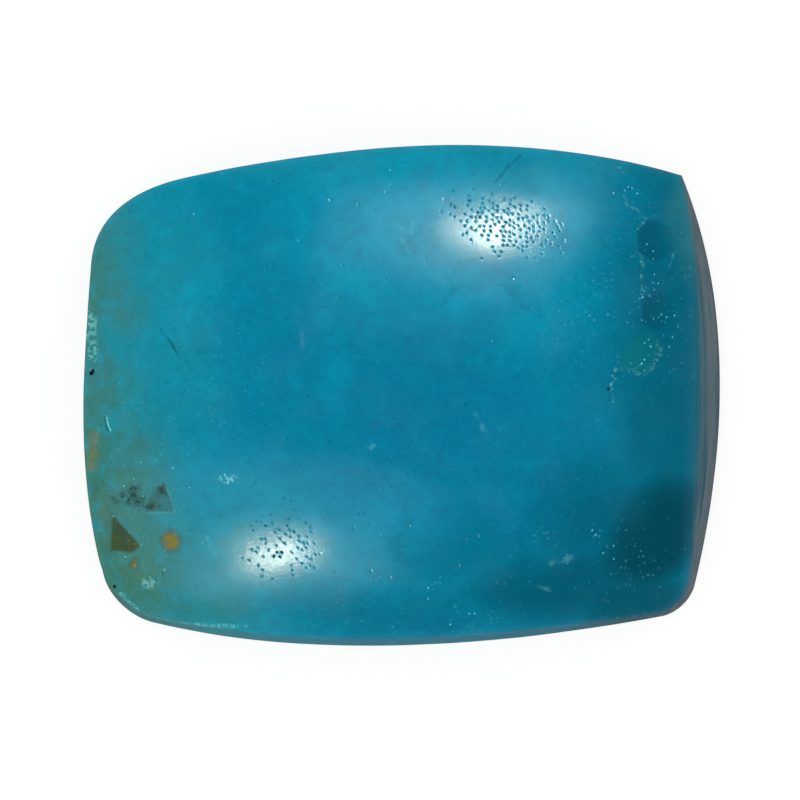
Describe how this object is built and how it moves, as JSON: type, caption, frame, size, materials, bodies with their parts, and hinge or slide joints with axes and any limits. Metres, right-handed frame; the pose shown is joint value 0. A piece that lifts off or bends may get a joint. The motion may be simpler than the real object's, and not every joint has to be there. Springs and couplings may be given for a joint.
{
  "type": "peruvian opal cabochon",
  "caption": "Blue opal cut as a cushion cabochon: a polished dome on steep side walls with a flat ground back, for setting in a bezel or showing loose.",
  "frame": {"origin": "on the flat ground back, below the middle of the stone's bounding box", "axes": "+X along the stone's length towards the end with the sharp corner, +Y across its width with the sharp corner on the +Y side, +Z from the back up to the top of the dome"},
  "size_m": [0.018, 0.0142, 0.0058],
  "materials": {
    "opal": "polished"
  },
  "bodies": {
    "root": {"opal": "opal"}
  },
  "joints": []
}
